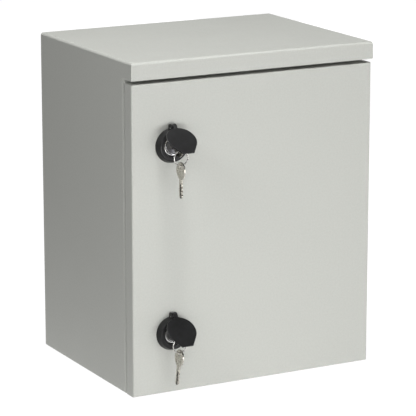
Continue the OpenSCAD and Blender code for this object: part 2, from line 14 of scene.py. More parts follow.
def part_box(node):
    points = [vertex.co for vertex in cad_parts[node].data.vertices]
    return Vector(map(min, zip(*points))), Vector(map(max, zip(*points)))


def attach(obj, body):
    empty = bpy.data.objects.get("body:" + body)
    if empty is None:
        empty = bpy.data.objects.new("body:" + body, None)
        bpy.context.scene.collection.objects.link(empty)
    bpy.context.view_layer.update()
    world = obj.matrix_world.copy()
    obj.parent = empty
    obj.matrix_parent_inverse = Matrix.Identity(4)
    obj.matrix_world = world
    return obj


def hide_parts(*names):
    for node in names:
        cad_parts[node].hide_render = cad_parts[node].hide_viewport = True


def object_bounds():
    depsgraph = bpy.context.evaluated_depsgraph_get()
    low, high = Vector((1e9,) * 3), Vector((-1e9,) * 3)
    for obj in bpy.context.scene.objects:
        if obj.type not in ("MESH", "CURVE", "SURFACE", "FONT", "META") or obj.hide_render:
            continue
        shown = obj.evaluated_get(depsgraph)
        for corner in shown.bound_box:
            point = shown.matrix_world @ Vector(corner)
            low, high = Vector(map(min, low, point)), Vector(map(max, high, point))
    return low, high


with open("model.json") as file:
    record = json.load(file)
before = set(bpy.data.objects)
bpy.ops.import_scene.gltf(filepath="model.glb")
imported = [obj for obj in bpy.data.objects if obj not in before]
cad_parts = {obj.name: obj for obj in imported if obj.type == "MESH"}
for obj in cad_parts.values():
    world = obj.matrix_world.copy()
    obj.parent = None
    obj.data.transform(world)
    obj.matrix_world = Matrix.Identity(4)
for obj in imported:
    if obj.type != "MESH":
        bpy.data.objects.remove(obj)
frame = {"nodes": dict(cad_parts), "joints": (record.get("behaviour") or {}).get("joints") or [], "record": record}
CAD_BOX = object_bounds()

MM = 0.001
JOINTS = {joint["name"]: joint for joint in frame["joints"]}
SLOT_OF = {part["node"]: part["material_slot"] for part in frame["record"]["subparts"]}
BODY_OF = {
    node: body for body, nodes in frame["record"]["behaviour"]["bodies"].items() for node in nodes
}
LEVELS = ("upper", "lower")         # each has a hinge and a lock
HERE = (0, 0, 0)                    # where patterns are modelled, before they are set out


# ------------------------------------------------------------------ mesh tools
# Sizes are given in millimetres about a centre, and centres in metres.

WELD = 0.002 * MM                   # corners closer than this are one corner
FLAT = math.radians(0.5)            # faces that turn less than this are one face
SMOOTH = math.radians(42)           # edges that turn less than this are shaded smooth
AXIS_TURN = {"X": (0, math.pi / 2, 0), "Y": (-math.pi / 2, 0, 0), "Z": (0, 0, 0)}


def only(piece):
    """Leaves one object selected and active, in object mode."""
    if bpy.context.object and bpy.context.object.mode != "OBJECT":
        bpy.ops.object.mode_set(mode="OBJECT")
    bpy.ops.object.select_all(action="DESELECT")
    piece.select_set(True)
    bpy.context.view_layer.objects.active = piece
    return piece


@contextmanager
def shaping(piece):
    """Edit mode on one object, with all of its mesh selected."""
    only(piece)
    bpy.ops.object.mode_set(mode="EDIT")
    bpy.ops.mesh.select_all(action="SELECT")
    yield
    bpy.ops.object.mode_set(mode="OBJECT")


def settle(piece):
    """Moves an object's place, turn and scale into its mesh."""
    only(piece)
    bpy.ops.object.transform_apply(location=True, rotation=True, scale=True)
    return piece


def added(name):
    """Names the primitive that was just added and settles it."""
    piece = bpy.context.object
    piece.name = name
    piece.data.name = name
    return settle(piece)


def stand(piece, axis, centre):
    """Turns a piece made along Z onto an axis, and moves it to its centre."""
    piece.rotation_euler = AXIS_TURN[axis]
    piece.location = centre
    return settle(piece)


def block(name, centre, low, high):
    """A box between two corners."""
    low, high = Vector(low) * MM, Vector(high) * MM
    bpy.ops.object.select_all(action="DESELECT")
    bpy.ops.mesh.primitive_cube_add(
        size=1, location=Vector(centre) + (low + high) / 2, scale=high - low
    )
    return added(name)


def rod(name, axis, centre, radius, low, high, sides=64, spin=0.0):
    """A cylinder or prism along an axis, from one depth to another."""
    bpy.ops.object.select_all(action="DESELECT")
    bpy.ops.mesh.primitive_cylinder_add(
        vertices=sides, radius=radius * MM, depth=(high - low) * MM,
        location=(0, 0, (low + high) / 2 * MM), rotation=(0, 0, spin),
    )
    return stand(added(name), axis, centre)


def turned(name, axis, centre, profile, sides=96, through=False):
    """A turned solid: a circle extruded and resized from one (radius, depth) to the next.

    A piece with a hole through it comes back to its first radius and depth.
    """
    radius, depth = profile[0]
    bpy.ops.object.select_all(action="DESELECT")
    bpy.ops.mesh.primitive_circle_add(
        vertices=sides, radius=radius * MM, location=(0, 0, depth * MM),
        fill_type="NOTHING" if through else "NGON",
    )
    piece = added(name)
    with shaping(piece):
        for next_radius, next_depth in profile[1:]:
            bpy.ops.mesh.extrude_region_move(
                TRANSFORM_OT_translate={"value": (0, 0, (next_depth - depth) * MM)}
            )
            factor = next_radius / radius
            bpy.ops.transform.resize(
                value=(factor, factor, 1), center_override=(0, 0, next_depth * MM)
            )
            radius, depth = next_radius, next_depth
        bpy.ops.mesh.select_all(action="SELECT")
        if through:
            bpy.ops.mesh.remove_doubles(threshold=WELD)
        bpy.ops.mesh.normals_make_consistent(inside=False)
    return stand(piece, axis, centre)


def combine(piece, other, operation="DIFFERENCE"):
    """Cuts one solid by another, or keeps what they share, and removes the tool."""
    only(piece)
    modifier = piece.modifiers.new(operation.title(), "BOOLEAN")
    modifier.operation = operation
    modifier.solver = "EXACT"
    modifier.material_mode = "TRANSFER"
    modifier.object = other
    bpy.ops.object.modifier_apply(modifier=modifier.name)
    bpy.data.objects.remove(other)
    return piece


def gather(piece, *others):
    """Joins pieces into one object as they stand."""
    only(piece)
    for other in others:
        other.select_set(True)
    bpy.ops.object.join()
    return piece


def close_up(piece):
    """Fills a piece's open ends and points its faces outwards."""
    with shaping(piece):
        bpy.ops.mesh.fill_holes(sides=0)
        bpy.ops.mesh.select_all(action="SELECT")
        bpy.ops.mesh.normals_make_consistent(inside=False)
    return piece


def hull(name, piece, *others):
    """The tight skin over several solids, as one clean solid."""
    with shaping(gather(piece, *others)):
        bpy.ops.mesh.convex_hull(join_triangles=False)
        bpy.ops.mesh.select_all(action="SELECT")
        bpy.ops.mesh.remove_doubles(threshold=WELD)
        bpy.ops.mesh.dissolve_limited(angle_limit=FLAT)
        bpy.ops.mesh.select_all(action="SELECT")
        bpy.ops.mesh.normals_make_consistent(inside=False)
    piece.name = piece.data.name = name
    return piece


def extent(node, centre):
    """A node's lowest and highest corners about a centre, in millimetres."""
    return [(Vector(corner) - Vector(centre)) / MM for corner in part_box(node)]


def soften(piece, width, segments=2, angle=30):
    """Rounds a piece's sharp edges, and keeps its flat faces flat in the light."""
    only(piece)
    if width:
        modifier = piece.modifiers.new("Edge", "BEVEL")
        modifier.width = width * MM
        modifier.segments = segments
        modifier.limit_method = "ANGLE"
        modifier.angle_limit = math.radians(angle)
        bpy.ops.object.modifier_apply(modifier=modifier.name)
    bpy.ops.object.shade_smooth_by_angle(angle=SMOOTH)
    modifier = piece.modifiers.new("Flats", "WEIGHTED_NORMAL")
    modifier.keep_sharp = True
    bpy.ops.object.modifier_apply(modifier=modifier.name)
    return piece


def round_edges(piece, chosen, width, segments):
    """Bevels the edges whose two ends both pass a test on their place."""
    only(piece)
    bpy.ops.object.mode_set(mode="EDIT")
    bpy.ops.mesh.select_all(action="DESELECT")
    bpy.ops.mesh.select_mode(type="EDGE")
    bpy.ops.object.mode_set(mode="OBJECT")
    mesh = piece.data
    for edge in mesh.edges:
        edge.select = all(chosen(mesh.vertices[end].co) for end in edge.vertices)
    bpy.ops.object.mode_set(mode="EDIT")
    bpy.ops.mesh.bevel(offset=width * MM, segments=segments, affect="EDGES")
    bpy.ops.object.mode_set(mode="OBJECT")
    return piece


def copy_of(node, name=None):
    """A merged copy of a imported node's mesh, which can be shaped further."""
    source = frame["nodes"][node]
    piece = source.copy()
    piece.data = source.data.copy()
    piece.name = name or node + "_finished"
    piece.data.name = piece.name
    bpy.context.scene.collection.objects.link(piece)
    piece.parent = None
    piece.matrix_world = Matrix.Identity(4)
    only(piece)
    bpy.ops.mesh.customdata_custom_splitnormals_clear()
    with shaping(piece):
        bpy.ops.mesh.remove_doubles(threshold=WELD)
        bpy.ops.mesh.dissolve_limited(angle_limit=FLAT)
    return piece


def twin_of(piece, name, placing):
    """A copy with a mesh of its own, moved by a matrix that is settled into it."""
    twin = piece.copy()
    twin.data = piece.data.copy()
    twin.name = name
    twin.data.name = name
    bpy.context.scene.collection.objects.link(twin)
    twin.matrix_world = placing
    return settle(twin)


def place(piece, body, finish, slot, *nodes):
    """Gives a piece its finish and its body, and hides the nodes it stands for.

    The first slot takes the finish; a slot that a cutter brought keeps its own.
    """
    if len(piece.data.materials) > 1:
        piece.data.materials[0] = finish
    else:
        piece.data.materials.clear()
        piece.data.materials.append(finish)
    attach(piece, body)
    if nodes:
        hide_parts(*nodes)
    return piece


# ------------------------------------------------------------------ fasteners


def thread(name, axis, centre, crest, low, high, pitch, steps=24):
    """The ridge of a 60 degree thread, swept up as a screw."""
    size = pitch / 2
    bpy.ops.object.select_all(action="DESELECT")
    bpy.ops.mesh.primitive_circle_add(
        vertices=3, radius=size * MM, location=((crest - size) * MM, 0, (low + size) * MM),
        rotation=(math.pi / 2, math.pi / 2, 0),
    )
    ridge = added(name)
    modifier = ridge.modifiers.new("Thread", "SCREW")
    modifier.axis = "Z"
    modifier.screw_offset = pitch * MM
    modifier.iterations = max(1, int((high - low) / pitch - 1))
    modifier.steps = modifier.render_steps = steps
    bpy.ops.object.modifier_apply(modifier=modifier.name)
    close_up(ridge)
    return stand(ridge, axis, centre)


def stud(name, axis, centre, radius, foot, tip, pitch, flange=None):
    """A threaded stud: a chamfered core, its thread, and maybe a weld flange at its foot."""
    thread_deep = 0.6 * pitch
    point = 0.8
    edge = 0.3
    core = radius - thread_deep
    way = 1 if tip > foot else -1
    root = [(radius, foot), (radius, foot + way * pitch)]
    if flange:
        wide, thick = flange
        root = [
            (wide - edge, foot), (wide, foot + way * edge), (wide, foot + way * (thick - edge)),
            (wide - edge, foot + way * thick), (radius, foot + way * thick),
            (radius, foot + way * (thick + edge)),
        ]
    start = root[-1][1] + way * thread_deep
    piece = turned(name, axis, centre, root + [
        (core, start), (core, tip - way * point), (core - point, tip)], sides=32)
    ends = sorted((root[-1][1], tip - way * 0.5))
    gather(piece, thread(name + "_thread", axis, centre, radius, *ends, pitch))
    return soften(piece, 0)


def hex_nut(name, axis, centre, radius, hole, low, high):
    """A hexagon nut with turned corners and a countersunk hole."""
    nut = rod(name, axis, centre, radius, low, high, sides=6, spin=math.pi / 6)
    corner = 0.08 * radius
    flat = 0.885 * radius
    clear = radius + 0.1
    combine(nut, turned("corners", axis, centre, [
        (flat, low - 0.01), (clear, low + corner), (clear, high - corner), (flat, high + 0.01),
    ], sides=48), "INTERSECT")
    if hole:
        sink = 0.12 * hole
        mouth = hole + 2 * sink
        combine(nut, turned("hole", axis, centre, [
            (mouth, low - sink), (hole, low + sink), (hole, high - sink), (mouth, high + sink),
        ], sides=48))
    return soften(nut, 0.12)


# ------------------------------------------------------------------ finishes


class Finish:
    """A procedural material built around one Principled shader, on Object coordinates."""

    def __init__(self, name, colour, roughness, metallic=0.0):
        self.material = bpy.data.materials.new(name)
        self.material.use_nodes = True
        self.tree = self.material.node_tree
        self.shader = self.tree.nodes["Principled BSDF"]
        self.coords = self.tree.nodes.new("ShaderNodeTexCoord").outputs["Object"]
        self.shader.inputs["Base Color"].default_value = (*colour, 1)
        self.shader.inputs["Roughness"].default_value = roughness
        self.shader.inputs["Metallic"].default_value = metallic
        self.height = None

    def set(self, **sockets):
        """Sets the shader's own sockets, with _ for each space in a socket's name."""
        for socket, value in sockets.items():
            self.shader.inputs[socket.replace("_", " ")].default_value = value

    def mapped(self, stretch):
        """The object's coordinates, stretched along each axis."""
        node = self.tree.nodes.new("ShaderNodeMapping")
        node.inputs["Scale"].default_value = stretch
        self.tree.links.new(self.coords, node.inputs["Vector"])
        return node.outputs["Vector"]

    def noise(self, size, detail=2.0, stretch=(1, 1, 1)):
        """Noise whose features are about size millimetres across."""
        node = self.tree.nodes.new("ShaderNodeTexNoise")
        node.inputs["Scale"].default_value = 1 / (size * MM)
        node.inputs["Detail"].default_value = detail
        self.tree.links.new(self.mapped(stretch), node.inputs["Vector"])
        return node.outputs["Fac"]

    def cells(self, size, output="Distance"):
        """Cells about size millimetres across."""
        node = self.tree.nodes.new("ShaderNodeTexVoronoi")
        node.inputs["Scale"].default_value = 1 / (size * MM)
        self.tree.links.new(self.mapped((1, 1, 1)), node.inputs["Vector"])
        return node.outputs[output]

    def spread(self, value, low, high, from_low=0.3, from_high=0.7):
        """Maps a texture's usual range onto another range."""
        node = self.tree.nodes.new("ShaderNodeMapRange")
        for socket, number in (
            ("From Min", from_low), ("From Max", from_high), ("To Min", low), ("To Max", high),
        ):
            node.inputs[socket].default_value = number
        self.tree.links.new(value, node.inputs["Value"])
        return node.outputs["Result"]

    def colour(self, value, first, second):
        """Blends the base colour between two colours by a texture."""
        node = self.tree.nodes.new("ShaderNodeMix")
        node.data_type = "RGBA"
        node.inputs["A"].default_value = (*first, 1)
        node.inputs["B"].default_value = (*second, 1)
        self.tree.links.new(self.spread(value, 0, 1), node.inputs["Factor"])
        self.tree.links.new(node.outputs["Result"], self.shader.inputs["Base Color"])

    def roughness(self, value, low, high):
        """Spreads the roughness between two values by a texture."""
        self.tree.links.new(self.spread(value, low, high), self.shader.inputs["Roughness"])

    def bump(self, value, depth):
        """Adds relief depth millimetres deep, on top of any relief already there."""
        node = self.tree.nodes.new("ShaderNodeBump")
        node.inputs["Distance"].default_value = depth * MM
        node.inputs["Strength"].default_value = 1.0
        self.tree.links.new(value, node.inputs["Height"])
        if self.height:
            self.tree.links.new(self.height, node.inputs["Normal"])
        self.height = node.outputs["Normal"]
        self.tree.links.new(self.height, self.shader.inputs["Normal"])


def shade(colour, factor):
    """A lighter or darker version of a colour."""
    return tuple(channel * factor for channel in colour)


LIGHT_GREY = (0.480, 0.487, 0.456)


def powder_coat(name):
    """Light grey powder coat: a fine orange peel, mottled a little, with uneven gloss."""
    finish = Finish(name, LIGHT_GREY, 0.46)
    finish.colour(finish.noise(2.0, 3), shade(LIGHT_GREY, 0.965), shade(LIGHT_GREY, 1.03))
    finish.roughness(finish.noise(35, 3), 0.42, 0.50)
    finish.bump(finish.noise(1.5, 3), 0.030)
    finish.bump(finish.noise(0.5, 2), 0.006)
    finish.set(Specular_IOR_Level=0.22)
    return finish.material


def moulded_black(name):
    """Black moulded plastic with an eroded grain and a faint bloom."""
    finish = Finish(name, (0.012, 0.012, 0.012), 0.42)
    finish.colour(finish.noise(6, 3), (0.010, 0.010, 0.010), (0.015, 0.015, 0.016))
    finish.roughness(finish.noise(3, 3), 0.30, 0.34)
    finish.bump(finish.noise(0.35, 2), 0.008)
    finish.set(Specular_IOR_Level=0.30)
    return finish.material


def polished_chrome(name, tint=(0.80, 0.80, 0.81), rough=(0.06, 0.16)):
    """Chrome on die-cast zinc, bright where it is rubbed and hazy elsewhere."""
    finish = Finish(name, tint, rough[0], metallic=1.0)
    finish.roughness(finish.noise(4, 4), *rough)
    finish.bump(finish.noise(0.6, 2), 0.001)
    return finish.material


def worn_nickel(name, colour=(0.60, 0.575, 0.52)):
    """Nickel plate with fine scratches and slightly dull patches."""
    finish = Finish(name, colour, 0.3, metallic=1.0)
    finish.colour(finish.noise(5, 3), shade(colour, 0.84), shade(colour, 1.06))
    finish.roughness(finish.noise(2.5, 4), 0.20, 0.38)
    finish.bump(finish.noise(0.5, 3, stretch=(1, 1, 0.15)), 0.004)
    return finish.material


def zinc_plate(name, colour=(0.62, 0.64, 0.66)):
    """Bright zinc plate with a faint passivated tint and rolling marks."""
    finish = Finish(name, colour, 0.35, metallic=1.0)
    finish.colour(finish.noise(9, 3), shade(colour, 0.90), (0.70, 0.69, 0.64))
    finish.roughness(finish.noise(3, 4), 0.28, 0.45)
    finish.bump(finish.noise(0.8, 3, stretch=(1, 1, 0.2)), 0.004)
    return finish.material


def galvanised(name):
    """Hot-dip galvanised sheet with its spangle."""
    colour = (0.56, 0.58, 0.60)
    finish = Finish(name, colour, 0.4, metallic=1.0)
    spangle = finish.cells(9, output="Color")
    finish.colour(spangle, shade(colour, 0.86), shade(colour, 1.12))
    finish.roughness(finish.noise(7, 4), 0.34, 0.52)
    finish.bump(finish.noise(1.5, 3), 0.006)
    return finish.material


def foam(name):
    """Foamed black polyurethane with an open-pored skin."""
    finish = Finish(name, (0.045, 0.045, 0.047), 0.85)
    finish.colour(finish.cells(0.8), (0.055, 0.055, 0.058), (0.028, 0.028, 0.030))
    finish.bump(finish.cells(0.8), 0.08)
    finish.bump(finish.noise(5, 3), 0.15)
    return finish.material


def rubber(name):
    """Plain black rubber."""
    finish = Finish(name, (0.022, 0.022, 0.023), 0.6)
    finish.roughness(finish.noise(2, 3), 0.5, 0.7)
    finish.bump(finish.noise(0.6, 3), 0.008)
    return finish.material


FINISHES = {
    "body_paint": powder_coat("cabinet powder coat"),
    "door_paint": powder_coat("door powder coat"),
    "black_plastic": moulded_black("black lock plastic"),
    "lock_chrome": polished_chrome("lock chrome"),
    "key_nickel": worn_nickel("key nickel"),
    "ring_nickel": worn_nickel("ring nickel", (0.52, 0.51, 0.49)),
    "zinc_hardware": zinc_plate("zinc hardware"),
    "hinge_steel": zinc_plate("hinge steel", (0.58, 0.60, 0.62)),
    "pin_steel": zinc_plate("pin steel", (0.55, 0.55, 0.56)),
    "galvanised_plate": galvanised("galvanised sheet"),
    "seal_foam": foam("seal foam"),
    "seal_rubber": rubber("seal rubber"),
}
# The rotor's sunk face is near-black metal: partly a darker satin face, and partly painted shade from the dust
# cover over it
ROTOR_FACE = polished_chrome("rotor face", (0.12, 0.12, 0.125), (0.26, 0.40))
# Near-black nickel for the faces of the key's grooves: painted shade in the recesses
GROOVE_SHADE = worn_nickel("key groove painted shade", (0.06, 0.057, 0.05))
# A darker copy of the key nickel for the keys in the locks: painted shade from the dust covers above them
SHADED_KEY_NICKEL = worn_nickel("key nickel with painted shade", (0.26, 0.25, 0.22))

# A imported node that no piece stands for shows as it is, and a copy starts with its finish
for node, cad_object in frame["nodes"].items():
    cad_object.data.materials.clear()
    cad_object.data.materials.append(FINISHES[SLOT_OF[node]])


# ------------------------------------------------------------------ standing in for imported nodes


def dress(piece, node, finish=None):
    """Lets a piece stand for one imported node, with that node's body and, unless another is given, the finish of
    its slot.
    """
    slot = SLOT_OF[node]
    return place(piece, BODY_OF[node], finish or FINISHES[slot], slot, node)


def about_axis(low, high, axis):
    """A box's middle, at depth 0 on an axis, and its two ends along it in millimetres."""
    along = "XYZ".index(axis)
    middle = (Vector(low) + Vector(high)) / 2
    middle[along] = 0
    return middle, low[along] / MM, high[along] / MM


def centres_of(node, axis):
    """The middles of a node's separate solids, and each one's reach along an axis.

    Solids are told apart by the loose parts of the node's mesh.
    """
    with shaping(copy_of(node)):
        bpy.ops.mesh.separate(type="LOOSE")
    found = []
    for part in list(bpy.context.selected_objects):
        points = [vertex.co for vertex in part.data.vertices]
        low = Vector(min(point[i] for point in points) for i in range(3))
        high = Vector(max(point[i] for point in points) for i in range(3))
        found.append(about_axis(low, high, axis))
        bpy.data.objects.remove(part)
    return found


def repeat(node, axis, make):
    """Models a detailed piece for a node's first solid, and sets a copy at each of the rest."""
    (first, low, high), *others = centres_of(node, axis)
    piece = make(node + "_finished", axis, first, low, high)
    spares = [
        twin_of(piece, f"{node}_{number}", Matrix.Translation(centre - first))
        for number, (centre, _, _) in enumerate(others)
    ]
    gather(piece, *spares)
    return dress(piece, node)


# ------------------------------------------------------------------ sheet metal and fittings

# How far the edges of each folded, cut or plain piece are rounded, in millimetres, and in
# how many steps
EDGES = {
    "body_wrap": (0.25, 2), "top_hood": (0.25, 2), "top_channel": (0.25, 2),
    "back_panel": (0.25, 2), "door_pan": (0.25, 2), "mounting_plate": (0.3, 2),
    "gland_plate": (0.3, 2), "gland_seal": (0.5, 3), "plate_spacers": (0.3, 2),
    "plate_washers": (0.25, 2), "hinge_rivets": (0.25, 2),
}
for level in LEVELS:
    EDGES[f"hinge_leaf_{level}"] = (0.2, 2)
    EDGES[f"hinge_bracket_{level}"] = (0.2, 2)
    EDGES[f"hinge_pin_{level}"] = (0.35, 3)
    EDGES[f"lock_cam_{level}"] = (0.3, 3)

# In millimetres: each thread's radius and pitch, the radius of each nut's corners and of its
# hole, and the flange's radius and thickness
M8 = (4, 1.25)
M6 = (3, 1.0)
M5 = (2.5, 0.8)
M8_NUT = (7.52, 4.05)
M5_NUT = (4.6, 2.55)
WELD_FLANGE = (5.5, 1.2)


def foamed_seal():
    """The door's seal, with a rounded back where it meets the rain channel."""
    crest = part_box("door_seal")[1][1] - 0.02 * MM
    seal = round_edges(copy_of("door_seal"), lambda point: point.y > crest, 2.2, 5)
    return soften(seal, 0)


def plate_stud(name, axis, centre, low, high):
    """A stud for the mounting plate, which stands forward from the back panel."""
    radius, pitch = M8
    return stud(name, axis, centre, radius, high, low, pitch)


def gland_stud(name, axis, centre, low, high):
    """A stud for the gland plate, which stands up from it."""
    radius, pitch = M5
    return stud(name, axis, centre, radius, low, high, pitch)


def plate_nut(name, axis, centre, low, high):
    """A nut that holds the mounting plate."""
    return hex_nut(name, axis, centre, *M8_NUT, low, high)


def gland_nut(name, axis, centre, low, high):
    """A nut that holds the gland plate."""
    return hex_nut(name, axis, centre, *M5_NUT, low, high)


def earth_stud(node, axis, from_high):
    """A welded earth stud, which stands out from its box's high or low end."""
    centre, *ends = about_axis(*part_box(node), axis)
    if from_high:
        ends.reverse()
    radius, pitch = M6
    piece = stud(node + "_finished", axis, centre, radius, *ends, pitch, flange=WELD_FLANGE)
    return dress(piece, node)


for node, (width, steps) in EDGES.items():
    dress(soften(copy_of(node), width, steps), node)
dress(foamed_seal(), "door_seal")
repeat("plate_studs", "Y", plate_stud)
repeat("gland_studs", "Z", gland_stud)
repeat("plate_nuts", "Y", plate_nut)
repeat("gland_nuts", "Z", gland_nut)
earth_stud("body_earth_stud", "X", True)
earth_stud("door_earth_stud", "Y", False)

# ------------------------------------------------------------------ locks

# Sizes are in millimetres, from the point where the lock's axis meets the door's face.
# Depths run along Y, so what stands out of the door is below 0. WIDE and TAB are half widths.
RUNNING = 0.1                       # the gap round the shank
ESCUTCHEON = 19                     # the escutcheon's radius at the door
ESCUTCHEON_RIM = 17                 # its radius at the front
ESCUTCHEON_OUT = 7.8                # how far its front stands out
ESCUTCHEON_LAND = (-1.1, -0.2)      # the straight part of its side, next to the door
RIM_ROUND = 1.5
FACE_GROOVE = (12.4, 13.5)          # the fine groove in its front
FACE_GROOVE_DEEP = 0.4
SEAL_GROOVE = (13.7, 16.3)          # the groove in its back, for the rubber ring
SEAL_GROOVE_DEEP = 1.3
SLEEVE = 11                         # the threaded sleeve through the door
SLEEVE_LENGTH = 21
SLEEVE_PITCH = 1.5
SLEEVE_THREAD = 0.9                 # how deep its thread is
SLEEVE_THREAD_FROM = 2.2            # where its thread begins
SLEEVE_CHAMFER = 0.6
NUT_CORNERS = 15.6
CAM_SCREW_HEAD = (5.8, 4)           # the radius of its corners, and its height
CAM_SCREW_SHANK = 3
ROTOR = 11                          # the rotor's rim
ROTOR_OUT = 4.6                     # how far it stands out
ROTOR_ROUND = 1.0
ROTOR_GAP = 0.3                     # the gap round it
STEP = 1.5                          # where the rim steps in to the shank
STEP_GAP = 0.04                     # keeps the rim clear of the housing's step
SHANK = 7.45
CAM_ROUND = 5.36                    # the shank's thin end, which reaches back to the cam
CAM_SQUARE = 4                      # half the square that the cam sits on
KEYWAY = (1.05, 3.2)                # half the keyway's width and height
FACE_PLUG = 7.9                     # the dished face inside the rotor's rim
COVER_AXIS = Vector((0, -4.3, 19.9)) * MM   # the middle of the cover's pin, in metres
COVER_EAR = 4.3                     # the round of the ears that hold the cover's pin
COVER_EARS_WIDE = 3.4
EAR_HEEL = Vector((0, -3.05, 21.2)) * MM    # the middle of their rounded heel, in metres
EAR_HEEL_ROUND = 3
EAR_FOOT = ((-6.8, 14.6), (-0.05, 16))      # depth and height of their foot's two corners
SLOT_FLOOR = 15.8                   # how far down the slot between the ears goes
PIN = 0.8
PIN_SLACK = 0.05
KNUCKLE = 4.0                       # the cover's knuckle, between the ears
KNUCKLE_WIDE = 1.9
KNUCKLE_GAP = 0.3
COVER_FACE = (-5.2, -3.6)           # from the pin, when the cover hangs: its front and back,
COVER_DISC = 17                     # the radius of its disc,
COVER_MIDDLE = -22                  # the disc's middle,
COVER_END = -42.1                   # and the end of its finger tab
COVER_TAB = 6.7
COVER_HOLLOW = 15                   # the shallow hollow behind the disc
COVER_LIFT = {"upper": 54.4, "lower": 47}   # degrees up from where it hangs
RING = 8.2                          # the key ring's radius
RING_WIRE = 0.6                     # half its wire's width
KEY_THICK = 1.8
KEY_HOME = 5.1                      # how far out the bow begins when the key is home
BOW = 9.3                           # the bow's radius; along the key, from where it begins:
BOW_MIDDLE = 9.5                    # the bow's middle,
HOLE_AT = 14                        # the middle of its hole,
BLADE = 20.6                        # and, the other way, the blade's tip
BOW_PANEL = 7.3                     # the sunk panel on the bow
BOW_PANEL_DEEP = 0.18
BOW_BOSS = 3.5                      # the boss left round the hole
KEY_GROOVES = (                     # across the blade, where each begins, and how deep
    ("groove", (-1.9, 0.3), -5, 0.5),
    ("flute", (0.9, 1.4), -8, 0.35),
)
SPARE_LEAN = {"upper": 0, "lower": 6}       # degrees


def arc(centre, radius, first, last, steps):
    """Points of a round between two angles, as a turned profile's radius and depth."""
    return [
        (centre[0] + radius * math.cos(math.radians(first + (last - first) * step / steps)),
         centre[1] + radius * math.sin(math.radians(first + (last - first) * step / steps)))
        for step in range(steps + 1)
    ]


def escutcheon():
    """The housing's turned body: the escutcheon outside the door and the sleeve through it."""
    front = -ESCUTCHEON_OUT
    bore = SHANK + RUNNING
    counterbore = ROTOR + ROTOR_GAP
    edge = 0.5
    mouth = [
        (bore, SLEEVE_LENGTH), (bore, -STEP), (counterbore, -STEP),
        (counterbore, front + edge), (counterbore + edge, front),
    ]
    inner, outer = FACE_GROOVE
    floor = front + FACE_GROOVE_DEEP
    slope = 0.3
    face = [(inner, front), (inner + slope, floor), (outer - slope, floor), (outer, front)]
    rim = arc((ESCUTCHEON_RIM - RIM_ROUND, front + RIM_ROUND), RIM_ROUND, -90, -8, 6)
    land, heel = ESCUTCHEON_LAND
    side = [
        (ESCUTCHEON - 0.25, land - 0.5), (ESCUTCHEON, land),
        (ESCUTCHEON, heel), (ESCUTCHEON + heel, 0),
    ]
    inner, outer = SEAL_GROOVE
    back = [(outer, 0), (outer, -SEAL_GROOVE_DEEP), (inner, -SEAL_GROOVE_DEEP), (inner, 0)]
    core = SLEEVE - SLEEVE_THREAD
    sleeve = [
        (core, 0), (core, SLEEVE_LENGTH - SLEEVE_CHAMFER),
        (core - SLEEVE_CHAMFER, SLEEVE_LENGTH), (bore, SLEEVE_LENGTH),
    ]
    profile = mouth + face + rim + side + back + sleeve
    return turned("housing", "Y", HERE, profile, through=True)


def cover_ears():
    """The two ears for the dust cover's pin, still joined until their slot is cut."""
    wide = COVER_EARS_WIDE
    low, high = EAR_FOOT
    ears = hull(
        "ears", rod("nose", "X", COVER_AXIS, COVER_EAR, -wide, wide, sides=48),
        rod("heel", "X", EAR_HEEL, EAR_HEEL_ROUND, -wide, wide, sides=48),
        block("foot", HERE, (-wide, *low), (wide, *high)),
    )
    ears = soften(ears, 0.4, 3, angle=50)
    return combine(ears, rod("pin hole", "X", COVER_AXIS, PIN + PIN_SLACK, -6, 6, sides=24))


def lock_housing():
    """The escutcheon and its threaded sleeve, with two ears for the dust cover's pin."""
    housing = escutcheon()
    ears = cover_ears()
    room = KNUCKLE_WIDE + KNUCKLE_GAP
    for part in (ears, housing):
        combine(part, block("slot", HERE, (-room, -16, SLOT_FLOOR), (room, 1, 30)))
    ridge = thread(
        "sleeve thread", "Y", HERE, SLEEVE, SLEEVE_THREAD_FROM,
        SLEEVE_LENGTH - SLEEVE_CHAMFER, SLEEVE_PITCH, steps=48,
    )
    return soften(gather(housing, ears, ridge), 0)


def dust_cover():
    """A moulded lid with a finger tab, a rounded rim and the knuckle of its hinge."""
    front, back = COVER_FACE
    middle = Vector((0, 0, COVER_MIDDLE * MM))
    lid = hull(
        "lid", rod("disc", "Y", middle, COVER_DISC, front, back, sides=96),
        block("tab", HERE, (-COVER_TAB, front, COVER_END), (COVER_TAB, back, COVER_END + 1)),
    )
    lid = soften(lid, 0.5, 4, angle=50)
    combine(lid, turned("hollow", "Y", middle, [
        (COVER_HOLLOW - 0.4, back - 0.55), (COVER_HOLLOW, back - 0.1),
        (COVER_HOLLOW + 0.1, back + 1)]))
    half = KNUCKLE_WIDE
    neck = hull(
        "neck", rod("knuckle", "X", HERE, KNUCKLE, -half, half, sides=48),
        block("web", HERE, (-half, front + 0.1, COVER_MIDDLE / 3), (half, back - 0.1, 0)),
    )
    neck = soften(neck, 0.25, 2, angle=50)
    combine(neck, rod("bore", "X", HERE, PIN + PIN_SLACK, -5, 5, sides=24))
    return soften(gather(lid, neck), 0)


def keyway():
    """The slot that the key's blade goes into."""
    wide, high = KEYWAY
    return block("keyway", HERE, (-wide, -9, -high), (wide, 16, high))


